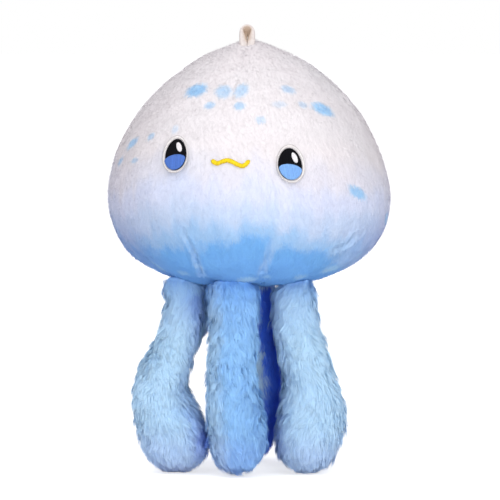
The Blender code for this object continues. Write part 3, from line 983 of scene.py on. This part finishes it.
def stitches(name, node, lines, outward, pitch, material, slot, overhang=0.0):
    """Satin stitches along the lines over a packed pad, which stays under them as the padding."""
    tree = tree_of(node)
    rng = np.random.default_rng(len(node))
    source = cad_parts[node].data
    points, normal = [points_of(source)], np.array(outward)
    corners, starts = corners_of(source)
    corners, starts = [corners], [starts]
    vertex_count, corner_count = len(source.vertices), len(source.loops)
    along, across = [np.zeros(vertex_count)], [np.zeros(vertex_count)]
    stitch, share = [np.full(vertex_count, 0.2)], [np.full(vertex_count, 0.5)]
    for start, direction, reach in lines:
        for run in stitch_span(tree, start, direction, outward, reach, 90):
            line, at = resampled(run, THREAD_STEPS)
            ahead = unit(np.gradient(line, axis=0))
            side = unit(np.cross(ahead, normal[None]))
            line[0] -= normal * THREAD_DIP + ahead[0] * overhang
            line[-1] += ahead[-1] * overhang - normal * THREAD_DIP
            lift = THREAD_RISE * rng.uniform(0.7, 1.3)
            rows = [line + side * pitch * a + normal * lift * (1 + b) for a, b in THREAD_PROFILE]
            grid = np.stack(rows, 1).reshape(-1, 3)
            width = len(THREAD_PROFILE)
            for i in range(THREAD_STEPS - 1):
                for j in range(width - 1):
                    base = vertex_count + i * width + j
                    starts.append([corner_count])
                    corners.append([base, base + 1, base + width + 1, base + width])
                    corner_count += 4
            points.append(grid)
            vertex_count += len(grid)
            along.append(np.repeat(at, width))
            share.append(np.repeat(at / at[-1], width))
            across.append(np.tile([a for a, _ in THREAD_PROFILE], THREAD_STEPS))
            stitch.append(np.full(len(grid), rng.uniform(0.1, 0.9)))
    mesh = mesh_from(name, np.concatenate(points), np.concatenate(corners), np.concatenate(starts))
    add_attribute(mesh, "place", "FLOAT_VECTOR", np.concatenate(points))
    for key, values in (("along", along), ("across", across), ("stitch", stitch), ("share", share)):
        add_attribute(mesh, key, "FLOAT", np.concatenate(values))
    piece = new_piece(name, mesh, material)
    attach(piece, "root")
    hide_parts(node)


def parallel_lines(node, angle, pitch):
    """Stitch lines that cross a pad side by side, leaning at an angle from its right."""
    centre, right, up, outward = pad_frame(node)
    turn = math.radians(angle)
    direction = right * math.cos(turn) + up * math.sin(turn)
    step = outward.cross(direction)
    low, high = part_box(node)
    reach = (high - low).length * 0.6
    count = int(reach / pitch)
    return [(centre + step * pitch * i, direction, reach) for i in range(-count, count + 1)], outward


def radial_lines(node, pitch):
    """Stitch lines that run out from the middle of a ring."""
    centre, right, up, outward = pad_frame(node)
    low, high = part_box(node)
    tall = high.z - low.z
    count = int(math.pi * tall * 0.82 / pitch)
    lines = []
    for i in range(count):
        turn = 2 * math.pi * i / count
        direction = right * math.cos(turn) + up * math.sin(turn)
        half = tall * 0.35
        lines.append((centre + direction * half, direction, half))
    return lines, outward


def make_face():
    pitch = THREAD_PITCH
    for eye in ("left", "right"):
        rim = f"eye_{eye}_rim"
        lines, outward = radial_lines(rim, pitch)
        stitches(f"{rim}_stitches", rim, lines, outward, pitch, thread_rim, "thread_white")
        for part, angle, material, slot in (
            ("pupil", 82, thread_black, "thread_black"),
            ("iris", 96, iris_blues[eye], "thread_blue"),
            ("glint", 20, thread_white, "thread_white"),
        ):
            node = f"eye_{eye}_{part}"
            lines, outward = parallel_lines(node, angle, pitch)
            stitches(f"{node}_stitches", node, lines, outward, pitch, material, slot)
    lines, outward = parallel_lines("mouth", 70, pitch)
    name = "mouth_stitches"
    stitches(name, "mouth", lines, outward, pitch, thread_yellow, "thread_yellow", MOUTH_OVERHANG)


# Hang loop


def make_loop():
    """The folded tape, woven, with a turned hem near each edge."""
    copy = soft_copy("hang_loop", 0.4 * MM)
    points, normals = points_of(copy), normals_of(copy)
    lean = math.radians(LOOP_LEAN)
    rising = np.array((0, math.sin(lean), math.cos(lean)))
    offset = points - np.array(LOOP_MIDDLE)
    upward = offset @ rising
    back = offset @ (0, math.cos(lean), -math.sin(lean))
    sideways = offset[:, 0]
    turn = np.arctan2(sideways, np.maximum(upward, 0))
    along = turn * LOOP_ARC - np.sign(sideways) * np.minimum(upward, 0)
    hem = np.exp(-(((np.abs(back) - 3.1 * MM) / (0.35 * MM)) ** 2))
    rate = 2 * math.pi / WEAVE_PITCH
    weave = np.sin(back * rate) * np.sin(along * rate)
    lift = LOOP_SWELL - 0.18 * MM * hem + 0.03 * MM * weave
    shaped = points + normals * lift[:, None]
    depth = np.maximum(-upward, 0)
    closing = smooth_step((3 * MM - upward) / (8.5 * MM))
    closing += 3 * smooth_step(back / (2 * MM)) * smooth_step((depth + 1 * MM) / (2.5 * MM))
    inset = np.maximum(LOOP_ARC - np.abs(sideways), 0) * LOOP_PINCH * closing
    shaped[:, 0] -= np.sign(sideways) * np.minimum(inset, np.maximum(np.abs(sideways) - 0.2 * MM, 0))
    peak = LOOP_PEAK * np.clip(1 - np.abs(sideways) / LOOP_ARC, 0, 1) * (upward > 0)
    droop = LOOP_DROOP * (back + TAPE_HALF_WIDTH)
    shaped += rising * (peak - droop)[:, None]
    shaped += smooth_step((depth - 4.5 * MM) / (4 * MM))[:, None] * np.array(LOOP_BURY)
    move_points(copy, shaped)
    outward = np.stack([sideways, np.maximum(upward, 0)], 1)
    facing = np.stack([normals[:, 0], normals @ rising], 1)
    add_attribute(copy, "place", "FLOAT_VECTOR", points)
    add_attribute(copy, "along", "FLOAT", along)
    add_attribute(copy, "across", "FLOAT", back)
    # How far each face turns in towards the loop's middle, for the painted shade on the inside of the tape
    add_attribute(copy, "inner", "FLOAT", np.clip(-(unit(outward) * facing).sum(1), 0, 1))
    copy.materials.clear()
    copy.shade_smooth()
    piece = new_piece("hang_loop_tape", copy, loop_tape)
    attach(piece, "root")
    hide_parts("hang_loop")


# Stage


def seen_apart(tree, plain, seen):
    """One shader for the camera's own rays and a plain one for all others."""
    rays = place_node(tree, "ShaderNodeLightPath").outputs["Is Camera Ray"]
    return place_node(tree, "ShaderNodeMixShader", {0: rays, 1: plain, 2: seen}).outputs[0]


def make_floor():
    bpy.ops.mesh.primitive_plane_add(size=30, location=(0, 0, -0.4 * MM))
    floor = bpy.context.object
    floor.name = "floor"
    material = bpy.data.materials.new("pale_floor")
    material.use_nodes = True
    tree = material.node_tree
    tree.nodes.clear()
    plain = place_node(tree, "ShaderNodeBsdfDiffuse", {"Color": (0.88, 0.88, 0.9, 1)}).outputs[0]
    seen = place_node(tree, "ShaderNodeBsdfDiffuse", {"Color": (0.8, 0.8, 0.8, 1)}).outputs[0]
    glow = place_node(tree, "ShaderNodeEmission", {"Color": (1, 1, 1, 1), "Strength": 0.64}).outputs[0]
    both = place_node(tree, "ShaderNodeAddShader", {0: seen, 1: glow}).outputs[0]
    place_node(tree, "ShaderNodeOutputMaterial", {"Surface": seen_apart(tree, plain, both)})
    floor.data.materials.append(material)


def make_world():
    world = bpy.data.worlds.new("studio")
    bpy.context.scene.world = world
    world.use_nodes = True
    tree = world.node_tree
    tree.nodes.clear()
    ambient, white = [
        place_node(tree, "ShaderNodeBackground", {"Color": colour, "Strength": strength}).outputs[0]
        for colour, strength in (((0.94, 0.915, 0.97, 1), 0.65), ((1, 1, 1, 1), 1.0))
    ]
    place_node(tree, "ShaderNodeOutputWorld", {"Surface": seen_apart(tree, ambient, white)})


def add_lamp(name, place, size, power, colour):
    lamp = bpy.data.lights.new(name, "AREA")
    lamp.shape, lamp.size, lamp.energy, lamp.color = "DISK", size, power, colour
    item = add_object(name, lamp)
    item.location = place
    aim = Vector(LAMP_TARGET) - Vector(place)
    item.rotation_euler = aim.to_track_quat("-Z", "Y").to_euler()


def make_camera():
    camera = bpy.data.cameras.new("camera")
    camera.sensor_width = SENSOR
    camera.lens = SENSOR * CAMERA_DISTANCE / VIEW_WIDTH
    camera.clip_end = 50
    item = add_object("camera", camera)
    slope = math.radians(CAMERA_ELEVATION)
    back = Vector((0, -math.cos(slope), math.sin(slope)))
    item.location = Vector(CAMERA_TARGET) + back * CAMERA_DISTANCE
    item.rotation_euler = (-back).to_track_quat("-Z", "Y").to_euler()
    bpy.context.scene.camera = item


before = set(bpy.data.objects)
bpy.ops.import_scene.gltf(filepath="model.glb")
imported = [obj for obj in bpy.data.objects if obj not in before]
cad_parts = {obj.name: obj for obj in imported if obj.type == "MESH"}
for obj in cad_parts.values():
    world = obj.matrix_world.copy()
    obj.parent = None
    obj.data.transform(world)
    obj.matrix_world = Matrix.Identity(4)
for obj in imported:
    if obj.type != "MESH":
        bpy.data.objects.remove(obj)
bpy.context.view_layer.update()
bpy.context.scene.view_settings.view_transform = "Standard"
make_camera()

stitched_nodes = [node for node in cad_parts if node.startswith("eye") or node == "mouth"]
bell_tree = tree_of("bell")
stitch_tree = tree_of(*stitched_nodes)

pile_tone = make_fibre_group()
printed_spot = make_spot_group()
twisted_thread = make_thread_group()
plain_weave = make_weave_group()

bell_plush = make_bell_material()
tentacle_fur = make_fur_material()
thread_white = make_thread_material("thread_white", (0.78, 0.77, 0.78), 0.6, 0.08)
# Painted shade: greyer towards the outer end of each rim stitch, at the groove round the eye
thread_rim = make_thread_material("thread_rim", (0.74, 0.72, 0.71), 0.6, 0.08, (0.40, 0.38, 0.38))
thread_black = make_thread_material("thread_black", (0.004, 0.004, 0.006), 0.8, 0.3)
# Painted shade: ochre towards both ends of each mouth stitch
thread_yellow = make_thread_material("thread_yellow", YELLOW, 0.6, 0.16, OCHRE_SHADED_ENDS, True)
iris_blues = {
    "left": make_thread_material("thread_blue", (0.082, 0.185, 0.55), 0.6, 0.16),
    "right": make_thread_material("thread_pale_blue", (0.205, 0.405, 0.76), 0.6, 0.16),
}
loop_tape = make_tape_material()

make_bell()
for order, node in enumerate(sorted(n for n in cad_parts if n.startswith("tentacle"))):
    make_tentacle(node, 100 + 10 * order)
make_face()
make_loop()
make_floor()
make_world()
for lamp in LAMPS:
    add_lamp(*lamp)
